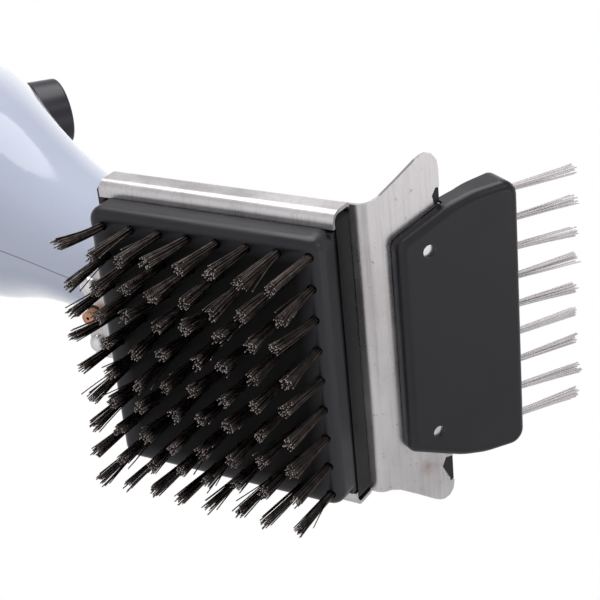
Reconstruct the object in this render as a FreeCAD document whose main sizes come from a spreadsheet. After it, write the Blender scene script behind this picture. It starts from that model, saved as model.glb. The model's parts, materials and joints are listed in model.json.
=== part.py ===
import FreeCAD, Part
import math
import os

# Grill cleaning brush with a water reservoir.
# Frame: +X towards the bristle end, +Y to the left in use, +Z up, millimetres.
# Everything is laid out from the centre of the main bristle face (z = 0 there)
# and shifted by origin_x / origin_z so that the row's origin is the bottom centre.

App = FreeCAD
doc = App.newDocument("grill_brush")
sheet = doc.addObject("Spreadsheet::Sheet", "Params")

DIMS = [
    # placement of the whole
    ("origin_x", 132.0295), ("origin_z", 22.0),
    # main bristle field
    ("tuft_pitch_x", 11.0), ("tuft_pitch_y", 10.5), ("tuft_count_x", 8), ("tuft_count_y", 9),
    ("tuft_length", 22.0), ("tuft_base_r", 1.23), ("tuft_tip_r", 2.5), ("tuft_seat", 6.0),
    ("tuft_hole_r", 1.6), ("tuft_hole_depth", 7.8), ("anchor_w", 2.6), ("anchor_t", 0.5), ("anchor_h", 1.5),
    # main brush block
    ("pad_rear", -45.4), ("pad_front", 42.0), ("pad_half", 47.4), ("pad_top", 9.8), ("pad_corner", 5.0), ("pad_rim", 4.2),
    ("waist_half", 46.4), ("flange_bottom", 11.8), ("flange_top", 20.0), ("flange_half", 50.5), ("flange_rear", -48.4),
    ("flange_bevel", 1.6), ("relief_half", 13.0), ("relief_floor", 17.4), ("relief_front", -11.0),
    # sheet metal bracket
    ("metal", 1.2), ("base_top", 21.5), ("chan_half", 52.6), ("chan_rear", -46.4), ("chan_front", 42.0),
    ("lip_face", 10.2), ("lip_edge", 47.2), ("bend_outer", 2.2), ("bend_inner", 1.0), ("horn_root", 52.1), ("hem_outer", 3.6), ("hem_inner", 2.4),
    ("bend_x", 47.0), ("wing_angle", 57.0), ("wing_bend_r", 4.0), ("wing_edge", 26.5),
    ("horn_half", 63.0), ("wing_slot_half", 2.5), ("lug_gap", 0.3),
    ("tab_rear", -63.6), ("tab_half", 17.0), ("tab_face", 14.0), ("web_x", -50.2),
    # side brush
    ("side_near", 7.9), ("side_far", 52.8), ("side_near_half", 37.4), ("side_mid", 28.0), ("side_mid_half", 45.9),
    ("side_flare_end", 37.0), ("side_flare_half", 47.9), ("side_wide", 48.5), ("side_front", 5.2), ("side_back", 7.5),
    ("side_thin_back", 3.3), ("side_ramp", 31.0), ("side_slot_end", 27.3), ("side_slot_gap", 0.3),
    ("side_pitch", 10.5), ("side_count", 9), ("side_level", 3.5), ("side_hole_r", 1.3), ("side_hole_depth", 9.0),
    ("side_tuft_base_r", 0.97), ("side_tuft_tip_r", 2.1), ("side_tuft_end", 81.0), ("side_tuft_seat", 7.0),
    ("side_pin_s", 18.8), ("side_pin_y", 32.7), ("side_hole", 2.25), ("side_pin_r", 2.2),
    ("side_pin_front", 3.8), ("side_pin_back", 2.9), ("lug_thick", 1.8),
    # reservoir
    ("wall", 2.4), ("foot_top", 31.0), ("foot_half", 16.0), ("foot_rear", -63.2), ("foot_front", -50.5),
    ("pad_foot_front", -7.0), ("pad_foot_half", 16.5), ("pad_foot_top", 27.0),
    ("split_gap", 0.0),
    # fasteners and outlet
    ("rear_screw_x", -59.6), ("rear_screw_y", 11.2), ("rear_head_r", 3.6), ("rear_head_h", 3.8),
    ("front_screw_x", -17.0), ("front_screw_y", 8.5), ("front_head_r", 3.4), ("front_head_h", 2.1),
    ("screw_r", 1.9), ("screw_hole_r", 2.1), ("insert_r", 3.0), ("rear_screw_end", 27.0), ("front_screw_end", 30.0),
    ("tube_x", -59.7), ("tube_r", 2.5), ("tube_bore", 1.6), ("tube_bottom", 9.6), ("tube_top", 35.0), ("grommet_r", 3.3), ("tube_orifice_r", 0.6),
    # air valve on top
    ("valve_x", -221.7), ("valve_z", 179.3), ("valve_tilt", 31.0),
    ("knob_r", 17.3), ("knob_top_r", 16.4), ("knob_h", 14.0), ("seat_r", 18.6), ("seat_top", -2.6), ("seat_bottom", -10.0),
    ("valve_r", 8.0), ("valve_flange_r", 11.5), ("valve_bottom", -22.0), ("stem_r", 4.0), ("stem_bore", 4.08), ("stem_top", 9.0), ("stem_bottom", -19.0),
    # filler at the handle's end
    ("end_x", -336.0), ("end_z", 156.0), ("neck_r", 14.0), ("neck_bore", 11.2), ("neck_end", -348.5),
    ("cap_r", 18.8), ("cap_end", -354.0), ("cap_skirt", -340.0), ("cap_bore", 14.35),
    # hanging eye
    ("eye_x", -322.0), ("eye_z", 126.5), ("eye_r", 4.0), ("eye_half", 4.0), ("eye_outer", 9.0), ("eye_top", 139.5),
]
# Reservoir and handle: station x, centre height, half width, half height
STATIONS = [
    ("nose", -6.5, 31.5, 8.0, 6.5), ("bow", -14.0, 34.8, 14.0, 11.0), ("brow", -27.0, 39.0, 18.4, 15.6),
    ("collar", -46.0, 45.0, 20.0, 19.8), ("throat", -66.0, 50.6, 20.8, 21.4), ("neck", -91.0, 61.4, 24.2, 26.0),
    ("shoulder", -116.0, 72.5, 28.4, 30.2), ("chest", -146.0, 84.8, 37.6, 35.6), ("belly", -176.0, 100.0, 45.6, 43.1),
    ("waist", -206.0, 118.3, 45.6, 50.0), ("hip", -241.0, 135.7, 40.5, 52.4), ("root", -266.0, 147.0, 31.0, 37.5),
    ("wrist", -291.0, 153.5, 21.5, 24.5), ("grip", -314.0, 155.6, 18.4, 20.2), ("butt", -336.0, 156.0, 18.0, 19.4),
]
# Notches in the wing's free edge (left and right differ): rise and distance from the centre
NOTCH_LEFT = [("nla", 23.6, 47.2), ("nlb", 22.4, 50.2), ("nlc", 25.3, 56.2)]
NOTCH_RIGHT = [("nra", 24.4, 45.6), ("nrb", 24.0, 48.4), ("nrc", 25.4, 50.6)]
for tag, ss, sy in NOTCH_LEFT + NOTCH_RIGHT:
    DIMS += [("%s_s" % tag, ss), ("%s_y" % tag, sy)]
for tag, sx, sz, sa, sb in STATIONS:
    DIMS += [("st_%s_x" % tag, sx), ("st_%s_z" % tag, sz), ("st_%s_a" % tag, sa), ("st_%s_b" % tag, sb)]

NUM = {}
for row, (alias, value) in enumerate(DIMS, start=1):
    sheet.set("A%d" % row, alias)
    sheet.set("B%d" % row, repr(value))
    sheet.setAlias("B%d" % row, alias)
    NUM[alias] = float(value)
doc.recompute()


class Q:
    """A length that knows its value and the spreadsheet expression behind it."""

    def __init__(self, val, ex):
        self.val = float(val)
        self.ex = ex

    @staticmethod
    def of(x):
        return x if isinstance(x, Q) else Q(x, "%.9g" % x if x >= 0 else "(%.9g)" % x)

    def __add__(self, o):
        o = Q.of(o)
        return Q(self.val + o.val, "(%s + %s)" % (self.ex, o.ex))

    __radd__ = __add__

    def __sub__(self, o):
        o = Q.of(o)
        return Q(self.val - o.val, "(%s - %s)" % (self.ex, o.ex))

    def __rsub__(self, o):
        return Q.of(o) - self

    def __mul__(self, o):
        o = Q.of(o)
        return Q(self.val * o.val, "(%s * %s)" % (self.ex, o.ex))

    __rmul__ = __mul__

    def __truediv__(self, o):
        o = Q.of(o)
        return Q(self.val / o.val, "(%s / %s)" % (self.ex, o.ex))

    def __neg__(self):
        return Q(-self.val, "(0 - %s)" % self.ex)


def p(name):
    return Q(NUM[name], "Params.%s" % name)


def qsin(a):
    return Q(math.sin(math.radians(a.val)), "sin(%s * 1 deg)" % a.ex)


def qcos(a):
    return Q(math.cos(math.radians(a.val)), "cos(%s * 1 deg)" % a.ex)


V = App.Vector
X_AX, Y_AX, Z_AX = V(1, 0, 0), V(0, 1, 0), V(0, 0, 1)
ROTS = {
    "+Z": App.Rotation(), "-Z": App.Rotation(X_AX, 180), "+X": App.Rotation(Y_AX, 90),
    "-X": App.Rotation(Y_AX, -90), "+Y": App.Rotation(X_AX, -90), "-Y": App.Rotation(X_AX, 90),
}


def bind(obj, prop, q):
    q = Q.of(q)
    obj.setExpression(prop, q.ex)


def put(obj, base, rot=None):
    base = [Q.of(b) for b in base]
    obj.Placement = App.Placement(V(*[b.val for b in base]), rot or App.Rotation())
    for axis, b in zip("xyz", base):
        obj.setExpression("Placement.Base.%s" % axis, b.ex)
    return obj


def box(name, x0, x1, y0, y1, z0, z1):
    o = doc.addObject("Part::Box", name)
    bind(o, "Length", Q.of(x1) - x0)
    bind(o, "Width", Q.of(y1) - y0)
    bind(o, "Height", Q.of(z1) - z0)
    return put(o, (x0, y0, z0))


def cyl(name, r, length, base, way="+Z"):
    o = doc.addObject("Part::Cylinder", name)
    bind(o, "Radius", r)
    bind(o, "Height", length)
    return put(o, base, ROTS[way])


def cone(name, r1, r2, length, base, way="+Z"):
    o = doc.addObject("Part::Cone", name)
    bind(o, "Radius1", r1)
    bind(o, "Radius2", r2)
    bind(o, "Height", length)
    return put(o, base, ROTS[way])


def torus(name, big, small, base, way="+Z"):
    o = doc.addObject("Part::Torus", name)
    bind(o, "Radius1", big)
    bind(o, "Radius2", small)
    return put(o, base, ROTS[way])


def cut(name, a, b):
    o = doc.addObject("Part::Cut", name)
    o.Base, o.Tool = a, b
    return o


def fuse(name, parts):
    o = doc.addObject("Part::MultiFuse", name)
    o.Shapes = parts
    return o


def common(name, a, b):
    o = doc.addObject("Part::Common", name)
    o.Base, o.Tool = a, b
    return o


def bundle(name, parts):
    o = doc.addObject("Part::Compound", name)
    o.Links = parts
    return o


def plane_of(body, role):
    return next(f for f in body.Origin.OriginFeatures if f.Role == role)


def sketch_on(body, role, name, lift=None):
    s = body.newObject("Sketcher::SketchObject", name)
    s.AttachmentSupport = (plane_of(body, role), [""])
    s.MapMode = "FlatFace"
    if lift is not None:
        lift = Q.of(lift)
        s.AttachmentOffset = App.Placement(V(0, 0, lift.val), App.Rotation())
        s.setExpression("AttachmentOffset.Base.z", lift.ex)
    return s


import Sketcher  # noqa: E402  (a FreeCAD module, after FreeCAD itself)


def pin_point(s, geo, end, x, y):
    """Fix one sketch point at (x, y) with dimensions that follow the sheet."""
    for kind, q, axis in (("DistanceX", Q.of(x), -2), ("DistanceY", Q.of(y), -1)):
        if abs(q.val) < 1e-9:
            s.addConstraint(Sketcher.Constraint("PointOnObject", geo, end, axis))
        else:
            i = s.addConstraint(Sketcher.Constraint(kind, -1, 1, geo, end, q.val))
            s.setExpression("Constraints[%d]" % i, q.ex)


def polygon(s, pts):
    n = len(pts)
    xy = [(Q.of(a), Q.of(b)) for a, b in pts]
    first = s.GeometryCount
    for i in range(n):
        a, b = xy[i], xy[(i + 1) % n]
        s.addGeometry(Part.LineSegment(V(a[0].val, a[1].val, 0), V(b[0].val, b[1].val, 0)), False)
    for i in range(n):
        s.addConstraint(Sketcher.Constraint("Coincident", first + i, 2, first + (i + 1) % n, 1))
    for i in range(n):
        pin_point(s, first + i, 1, xy[i][0], xy[i][1])
    return s


def circle(s, x, y, r):
    x, y, r = Q.of(x), Q.of(y), Q.of(r)
    g = s.addGeometry(Part.Circle(V(x.val, y.val, 0), Z_AX, r.val), False)
    i = s.addConstraint(Sketcher.Constraint("Radius", g, r.val))
    s.setExpression("Constraints[%d]" % i, r.ex)
    pin_point(s, g, 3, x, y)
    return g


def new_body(name):
    b = doc.addObject("PartDesign::Body", name)
    if hasattr(b, "AllowCompound"):
        b.AllowCompound = True
    return b


def pad(body, s, length, name, flip=False):
    f = body.newObject("PartDesign::Pad", name)
    f.Profile = s
    bind(f, "Length", length)
    f.Reversed = flip
    return f


def pocket(body, s, length, name, flip=False):
    """Cut along the sketch normal; the direction is checked by volume."""
    doc.recompute()
    before = body.Shape.Volume
    f = body.newObject("PartDesign::Pocket", name)
    f.Profile = s
    bind(f, "Length", length)
    f.Reversed = flip
    doc.recompute()
    assert body.Shape.Volume < before - 1e-3, "%s removed nothing" % name
    return f


def edges_where(shape, test):
    out = []
    for i, e in enumerate(shape.Edges, start=1):
        if test(e):
            out.append("Edge%d" % i)
    return out


def fillet(body, base, names, r, name):
    f = body.newObject("PartDesign::Fillet", name)
    f.Base = (base, names)
    bind(f, "Radius", r)
    doc.recompute()
    return f


FINAL = []


def final(obj, label, base=(0, 0, 0), rot=None):
    """Give a sub-part its label and its place in the row frame."""
    obj.Label = label
    put(obj, (p("origin_x") + base[0], Q.of(base[1]), p("origin_z") + base[2]), rot)
    FINAL.append(obj)
    return obj


# ------------------------------------------------------------------ head bracket
# A C channel of sheet steel, open downwards, whose base plate runs forwards into
# a wing bent up at wing_angle, and rearwards into a lowered tab.
m = p("metal")
body = new_body("ChannelBody")
s = sketch_on(body, "YZ_Plane", "ChannelSection", p("chan_rear"))
H, B, LF, LE = p("chan_half"), p("base_top"), p("lip_face"), p("lip_edge")
polygon(s, [(-LE, LF), (-LE, LF + m), (m - H, LF + m), (m - H, B - m), (H - m, B - m), (H - m, LF + m), (LE, LF + m), (LE, LF),
            (H, LF), (H, B), (-H, B), (-H, LF)])
channel_pad = pad(body, s, p("chan_front") - p("chan_rear"), "ChannelPad")
doc.recompute()


def along_x(e):
    a, b = e.Vertexes[0].Point, e.Vertexes[-1].Point
    return abs(a.y - b.y) < 1e-6 and abs(a.z - b.z) < 1e-6


def outer_bend(e):
    c = e.Vertexes[0].Point
    return along_x(e) and abs(abs(c.y) - NUM["chan_half"]) < 1e-6


def inner_bend(e):
    c = e.Vertexes[0].Point
    return along_x(e) and abs(abs(c.y) - NUM["chan_half"] + NUM["metal"]) < 1e-6


def upper(e):
    return e.Vertexes[0].Point.z > (NUM["base_top"] + NUM["lip_face"]) / 2


f1 = fillet(body, channel_pad, edges_where(channel_pad.Shape, lambda e: outer_bend(e) and upper(e)), p("bend_outer"), "OuterBends")
f2 = fillet(body, f1, edges_where(f1.Shape, lambda e: inner_bend(e) and upper(e)), p("bend_inner"), "InnerBends")
f3 = fillet(body, f2, edges_where(f2.Shape, lambda e: outer_bend(e) and not upper(e)), p("hem_outer"), "HemBendsOuter")
f4 = fillet(body, f3, edges_where(f3.Shape, lambda e: inner_bend(e) and not upper(e)), p("hem_inner"), "HemBendsInner")
body.Tip = f4

ANG = p("wing_angle")
half_tan = Q(math.tan(math.radians(NUM["wing_angle"] / 2)), "tan(Params.wing_angle / 2 * 1 deg)")
# the lower skins of base plate and wing meet at this x
corner_x = p("bend_x") - m * qcos(ANG) / qsin(ANG)


wing = new_body("WingBody")
s = sketch_on(wing, "XZ_Plane", "WingSection")
length = p("wing_edge") + 4
polygon(s, [
    (p("chan_front") - 3, B - m), (corner_x, B - m),
    (corner_x + length * qcos(ANG), B - m + length * qsin(ANG)),
    (corner_x + length * qcos(ANG) - m * qsin(ANG), B - m + length * qsin(ANG) + m * qcos(ANG)),
    (corner_x - m * half_tan, B), (p("chan_front") - 3, B)])
wing_pad = pad(wing, s, 2 * p("horn_half") + 4, "WingPad")
wing_pad.Midplane = True
doc.recompute()


def at_xz(e, x, z):
    a, b = e.Vertexes[0].Point, e.Vertexes[-1].Point
    return abs(a.x - b.x) < 1e-6 and abs(a.z - b.z) < 1e-6 and abs(a.x - x) < 1e-4 and abs(a.z - z) < 1e-4


bend_a = fillet(wing, wing_pad, edges_where(wing_pad.Shape, lambda e: at_xz(e, corner_x.val, (B - m).val)), p("wing_bend_r"), "WingBendOuter")
bend_b = fillet(wing, bend_a, edges_where(bend_a.Shape, lambda e: at_xz(e, (corner_x - m * half_tan).val, B.val)), p("wing_bend_r") - m, "WingBendInner")
wing.Tip = bend_b

# outline of the wing, drawn in its own plane: x along the rise, y across
WING_ROT = App.Rotation(Y_AX, -NUM["wing_angle"])
trim = new_body("WingOutline")
s = sketch_on(trim, "XY_Plane", "WingOutlineSketch", -25)
E_, HH, CH = p("wing_edge"), p("horn_half"), p("horn_root")
half = [(-20, CH - 0.4), (2, CH - 0.2), (5.4, CH + 1.0), (12, CH + 5.2), (18.5, HH - 1.3), (20.5, HH - 0.3), (22.3, HH), (24.4, HH - 0.8), (26.0, HH - 3.0), (E_, HH - 6.0)]
polygon(s, half + [(a, -Q.of(b)) for a, b in reversed(half)])
pad(trim, s, 50, "WingOutlinePad")
put(trim, (p("bend_x"), 0, B), WING_ROT)


def on_wing(sv, yv, nv):
    """Row-independent point at (rise, across, normal) on the wing."""
    sv, yv, nv = Q.of(sv), Q.of(yv), Q.of(nv)
    return (p("bend_x") + sv * qcos(ANG) - nv * qsin(ANG), yv, B + sv * qsin(ANG) + nv * qcos(ANG))


def wing_drill(name, r, sv, yv, n0, n1):
    o = doc.addObject("Part::Cylinder", name)
    bind(o, "Radius", r)
    bind(o, "Height", Q.of(n1) - n0)
    return put(o, on_wing(sv, yv, n0), WING_ROT)


def wing_slot(name, sv, yv, half_width):
    """Round-ended slot through the wing, open at its free edge."""
    long = doc.addObject("Part::Box", name + "Run")
    bind(long, "Length", p("wing_edge") + 6 - sv)
    bind(long, "Width", 2 * half_width)
    bind(long, "Height", 10)
    put(long, on_wing(sv, yv - half_width, -4), WING_ROT)
    return fuse(name, [long, wing_drill(name + "End", half_width, sv, yv, -4, 6)])


def notch_points(table, side_sign, grow, edge):
    """Corner list of a notch (grow > 0 widens it, the lug inside uses 0)."""
    (a, _, _), (b, _, _), (c, _, _) = table
    pts = [(edge, p(a + "_y") - grow), (p(a + "_s"), p(a + "_y") - grow), (p(b + "_s") - grow, p(b + "_y")), (p(c + "_s") - grow, p(c + "_y") + grow), (edge, p(c + "_y") + grow)]
    return [(sv, side_sign * yv) for sv, yv in pts]


def wing_notch(name, table, side_sign):
    nb = new_body(name)
    sk = sketch_on(nb, "XY_Plane", name + "Sketch", -4)
    polygon(sk, notch_points(table, side_sign, p("lug_gap"), p("wing_edge") + 3))
    pad(nb, sk, 10, name + "Pad")
    return put(nb, (p("bend_x"), 0, B), WING_ROT)


wing_cut = common("WingTrimmed", wing, trim)

tab = new_body("TabBody")
s = sketch_on(tab, "XZ_Plane", "TabSection")
WX, TF, TR = p("web_x"), p("tab_face"), p("tab_rear")
polygon(s, [(p("chan_rear") + 3, B - m), (WX + m, B - m), (WX + m, TF), (TR, TF), (TR, TF + m), (WX, TF + m), (WX, B), (p("chan_rear") + 3, B)])
tab_pad = pad(tab, s, 2 * p("tab_half"), "TabPad")
tab_pad.Midplane = True
doc.recompute()
t1 = fillet(tab, tab_pad, edges_where(tab_pad.Shape, lambda e: at_xz(e, WX.val, B.val) or at_xz(e, (WX + m).val, TF.val)), 1.5, "TabBendsOuter")


def tab_corner(e):
    a, b = e.Vertexes[0].Point, e.Vertexes[-1].Point
    return abs(a.x - b.x) < 1e-6 and abs(a.y - b.y) < 1e-6 and abs(a.x - TR.val) < 1e-4


t2 = fillet(tab, t1, edges_where(t1.Shape, tab_corner), 4.0, "TabCorners")
tab.Tip = t2

bracket_raw = fuse("BracketRaw", [body, wing_cut, tab])
holes = [
    wing_slot("WingSlotL", p("side_pin_s"), p("side_pin_y"), p("wing_slot_half")),
    wing_slot("WingSlotR", p("side_pin_s"), -p("side_pin_y"), p("wing_slot_half")),
    wing_notch("WingNotchL", NOTCH_LEFT, 1),
    wing_notch("WingNotchR", NOTCH_RIGHT, -1),
    cyl("FrontHoleL", p("screw_hole_r"), 6, (p("front_screw_x"), p("front_screw_y"), B - 4)),
    cyl("FrontHoleR", p("screw_hole_r"), 6, (p("front_screw_x"), -p("front_screw_y"), B - 4)),
    cyl("RearHoleL", p("screw_hole_r"), 6, (p("rear_screw_x"), p("rear_screw_y"), TF - 3)),
    cyl("RearHoleR", p("screw_hole_r"), 6, (p("rear_screw_x"), -p("rear_screw_y"), TF - 3)),
    cyl("TubeHoleTab", p("grommet_r"), 6, (p("tube_x"), 0, TF - 3)),
]
bracket = cut("HeadBracket", bracket_raw, fuse("BracketHoles", holes))
final(bracket, "head_bracket")

# ------------------------------------------------------------------ main brush
# T-shaped moulded block that slides into the channel from the front.
blk = new_body("BlockBody")
s = sketch_on(blk, "XY_Plane", "PadOutline")
polygon(s, [(p("pad_rear"), -p("pad_half")), (p("pad_front"), -p("pad_half")), (p("pad_front"), p("pad_half")), (p("pad_rear"), p("pad_half"))])
pad_low = pad(blk, s, p("pad_top"), "PadLow")
doc.recompute()


def vertical(e):
    a, b = e.Vertexes[0].Point, e.Vertexes[-1].Point
    return abs(a.x - b.x) < 1e-6 and abs(a.y - b.y) < 1e-6


def at_z(e, z):
    return all(abs(v.Point.z - z) < 1e-6 for v in e.Vertexes)


c1 = fillet(blk, pad_low, edges_where(pad_low.Shape, vertical), p("pad_corner"), "PadCorners")
c2 = fillet(blk, c1, edges_where(c1.Shape, lambda e: at_z(e, 0.0)), p("pad_rim"), "PadRim")
s = sketch_on(blk, "XY_Plane", "WaistOutline", p("pad_top") - 1)
polygon(s, [(p("pad_rear") + 0.4, -p("waist_half")), (p("pad_front") - 0.4, -p("waist_half")), (p("pad_front") - 0.4, p("waist_half")), (p("pad_rear") + 0.4, p("waist_half"))])
pad(blk, s, p("flange_bottom") - p("pad_top") + 2, "Waist")
s = sketch_on(blk, "YZ_Plane", "FlangeSection", p("flange_rear"))
FB, FT, FH, FV = p("flange_bottom"), p("flange_top"), p("flange_half"), p("flange_bevel")
polygon(s, [(-FH, FB + FV), (FV - FH, FB), (FH - FV, FB), (FH, FB + FV), (FH, FT - FV), (FH - FV, FT), (FV - FH, FT), (-FH, FT - FV)])
fl = pad(blk, s, p("pad_front") - p("flange_rear"), "Flange")
doc.recompute()


def flange_corner(e):
    return vertical(e) and abs(abs(e.Vertexes[0].Point.y) - NUM["flange_half"]) < 1e-6


c3 = fillet(blk, fl, edges_where(fl.Shape, flange_corner), 1.6, "FlangeCorners")
# relief for the heads of the two front screws, open to the rear
s = sketch_on(blk, "XY_Plane", "ReliefOutline", p("flange_top"))
polygon(s, [(p("flange_rear") - 2, -p("relief_half")), (p("relief_front"), -p("relief_half")), (p("relief_front"), p("relief_half")), (p("flange_rear") - 2, p("relief_half"))])
pocket(blk, s, p("flange_top") - p("relief_floor"), "Relief")
# one row of tuft holes, then the whole field
s = sketch_on(blk, "XY_Plane", "TuftHoleSketch")
x_first = -(p("tuft_count_x") - 1) * p("tuft_pitch_x") / 2
y_first = -(p("tuft_count_y") - 1) * p("tuft_pitch_y") / 2
circle(s, x_first, y_first, p("tuft_hole_r"))
hole = pocket(blk, s, p("tuft_hole_depth"), "TuftHole", True)


def grid(body_, feature, name, sketch_name):
    """Repeat a feature over the bristle field: columns along X, rows along Y."""
    vol0 = body_.Shape.Volume
    multi = body_.newObject("PartDesign::MultiTransform", name)
    multi.Originals = [feature]
    lx = doc.addObject("PartDesign::LinearPattern", name + "Columns")
    ly = doc.addObject("PartDesign::LinearPattern", name + "Rows")
    for pat, role, count, pitch in ((lx, "X_Axis", "tuft_count_x", "tuft_pitch_x"), (ly, "Y_Axis", "tuft_count_y", "tuft_pitch_y")):
        body_.addObject(pat)
        pat.Direction = (plane_of(body_, role), [""])
        pat.Length = (NUM[count] - 1) * NUM[pitch]
        pat.Occurrences = int(NUM[count])
        pat.setExpression("Length", "(Params.%s - 1) * Params.%s" % (count, pitch))
        pat.setExpression("Occurrences", "Params.%s" % count)
    multi.Transformations = [lx, ly]
    body_.Tip = multi
    doc.recompute()
    assert abs(body_.Shape.Volume - vol0) > 1, name
    return multi


grid(blk, hole, "TuftHoles", "TuftHoleSketch")
final(blk, "main_brush_block")

# tufts: one slightly spreading bundle each, seated in the block
tufts = new_body("TuftBody")
s = sketch_on(tufts, "XZ_Plane", "TuftProfile", -y_first)
TL, TB, TT, TS = p("tuft_length"), p("tuft_base_r"), p("tuft_tip_r"), p("tuft_seat")
polygon(s, [(x_first, -TL), (x_first + TT, -TL), (x_first + TB, TS), (x_first, TS)])
rev = tufts.newObject("PartDesign::Revolution", "TuftBundle")
rev.Profile = s
rev.ReferenceAxis = (s, ["Edge4"])
rev.Angle = 360
doc.recompute()
assert tufts.Shape.Volume > 100, "tuft revolution is empty"
grid(tufts, rev, "TuftField", "TuftProfile")
final(tufts, "main_bristle_tufts")

anchors = new_body("AnchorBody")
s = sketch_on(anchors, "XY_Plane", "AnchorSketch", TS + 0.05)
AW, AT = p("anchor_w") / 2, p("anchor_t") / 2
polygon(s, [(x_first - AW, y_first - AT), (x_first + AW, y_first - AT), (x_first + AW, y_first + AT), (x_first - AW, y_first + AT)])
an = pad(anchors, s, p("anchor_h"), "TuftAnchor")
doc.recompute()
grid(anchors, an, "AnchorField", "AnchorSketch")
final(anchors, "main_tuft_anchors")

# ------------------------------------------------------------------ side brush
# Moulded block slotted along its near edge so that it slides down over the wing.
# Modelled in the wing's own plane: x along the rise, y across, z normal.
WING_BASE = (p("bend_x"), 0, B)
side = new_body("SideBody")
SN, SF = p("side_near"), p("side_far")
s = sketch_on(side, "XY_Plane", "SideOutline", -p("side_front"))
half = [(SN, p("side_near_half")), (p("side_mid"), p("side_mid_half")), (p("side_flare_end"), p("side_flare_half")), (SF, p("side_wide"))]
polygon(s, half + [(a, -b) for a, b in reversed(half)])
side_pad = pad(side, s, p("side_front") + p("side_back"), "SidePad")
doc.recompute()
zf = -NUM["side_front"]


def post(e, s_min, s_max):
    """A straight edge running from the front face to the back face."""
    ends = sorted((v.Point for v in e.Vertexes), key=lambda q: q.z)
    return len(ends) == 2 and ends[1].z - ends[0].z > 5 and s_min < ends[0].x < s_max and s_min < ends[1].x < s_max


g0 = fillet(side, side_pad, edges_where(side_pad.Shape, lambda e: post(e, NUM["side_near"] + 5, NUM["side_far"] - 1)), 30.0, "SideFlare")
g00 = fillet(side, g0, edges_where(g0.Shape, lambda e: post(e, NUM["side_near"] - 1, NUM["side_near"] + 1)), 4.0, "SideNearCorners")
g1 = fillet(side, g00, edges_where(g00.Shape, lambda e: post(e, NUM["side_far"] - 1, NUM["side_far"] + 1)), 5.5, "SideFarCorners")
# the back is thin over the wing and ramps up to the full thickness at the bristles
s = sketch_on(side, "XZ_Plane", "BackRamp")
ST, SR, SB = p("side_thin_back"), p("side_ramp"), p("side_back")
polygon(s, [(5, ST), (SR, ST), (SF + 0.4, SB), (SF + 0.4, SB + 8), (5, SB + 8)])
side_cut = side.newObject("PartDesign::Pocket", "BackRampCut")
side_cut.Profile = s
side_cut.Midplane = True
bind(side_cut, "Length", 140)
doc.recompute()
assert side.Shape.Volume > 1000, "side block is empty"
slope = (NUM["side_back"] - NUM["side_thin_back"]) / (NUM["side_far"] + 0.4 - NUM["side_ramp"])


def on_ramp(e):
    pts = [v.Point for v in e.Vertexes]
    return all(abs(q.z - NUM["side_thin_back"] - slope * (q.x - NUM["side_ramp"])) < 1e-4 for q in pts) and max(q.x for q in pts) > NUM["side_ramp"] + 1


g2 = fillet(side, side_cut, edges_where(side_cut.Shape, lambda e: at_z(e, zf)), 3.0, "SideFrontRim")
g3 = fillet(side, g2, edges_where(g2.Shape, on_ramp), 0.6, "SideBackRim")
side.Tip = g3
# slot for the wing, open at the near edge and at both ends
s = sketch_on(side, "XY_Plane", "SlotOutline", -p("side_slot_gap"))
polygon(s, [(SN - 2, -60), (p("side_slot_end"), -60), (p("side_slot_end"), 60), (SN - 2, 60)])
pocket(side, s, m + 2 * p("side_slot_gap"), "WingSlot", True)
s = sketch_on(side, "XY_Plane", "SideHoles", -p("side_front") - 1)
circle(s, p("side_pin_s"), p("side_pin_y"), p("side_hole"))
circle(s, p("side_pin_s"), -p("side_pin_y"), p("side_hole"))
pocket(side, s, p("side_front") + p("side_back") + 2, "SideThroughHoles", True)
s = sketch_on(side, "YZ_Plane", "SideTuftHole", SF + 1)
y0s = -(p("side_count") - 1) * p("side_pitch") / 2
circle(s, y0s, p("side_level"), p("side_hole_r"))
sh = pocket(side, s, p("side_hole_depth") + 1, "SideTuftHoleCut")


def row_of(body_, feature, name):
    """Repeat a feature across the side brush."""
    vol0 = body_.Shape.Volume
    pat = body_.newObject("PartDesign::LinearPattern", name)
    pat.Originals = [feature]
    pat.Direction = (plane_of(body_, "Y_Axis"), [""])
    pat.Length = (NUM["side_count"] - 1) * NUM["side_pitch"]
    pat.Occurrences = int(NUM["side_count"])
    pat.setExpression("Length", "(Params.side_count - 1) * Params.side_pitch")
    pat.setExpression("Occurrences", "Params.side_count")
    body_.Tip = pat
    doc.recompute()
    assert abs(body_.Shape.Volume - vol0) > 1, name
    return pat


row_of(side, sh, "SideTuftHoles")
# a lug behind each horn with a tongue standing in the wing's notch
for tag, table, sgn in (("Left", NOTCH_LEFT, 1), ("Right", NOTCH_RIGHT, -1)):
    s = sketch_on(side, "XY_Plane", "Lug%s" % tag, m + p("side_slot_gap"))
    root = p(table[0][0] + "_y") - 7
    polygon(s, [(26.3, sgn * root), (22.2, sgn * root), (p(table[1][0] + "_s"), sgn * p(table[1][0] + "_y")), (p(table[2][0] + "_s"), sgn * p(table[2][0] + "_y")), (26.3, sgn * p(table[2][0] + "_y"))])
    pad(side, s, p("lug_thick"), "LugPad%s" % tag)
    s = sketch_on(side, "XY_Plane", "Tongue%s" % tag, 0.15)
    polygon(s, notch_points(table, sgn, Q(0, "0"), Q(26.3, "26.3")))
    tongue = pad(side, s, m + p("side_slot_gap"), "TonguePad%s" % tag)
    side.Tip = tongue
doc.recompute()
assert len(side.Shape.Solids) == 1, "side block is in %d pieces" % len(side.Shape.Solids)
final(side, "side_brush_block", WING_BASE, WING_ROT)

side_pins = bundle("SidePins", [cyl("SidePin%s" % t, p("side_pin_r"), p("side_pin_front") + p("side_pin_back"), (p("side_pin_s"), sgn * p("side_pin_y"), -p("side_pin_front")))
                                for t, sgn in (("L", 1), ("R", -1))])
final(side_pins, "side_brush_pins", WING_BASE, WING_ROT)

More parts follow.
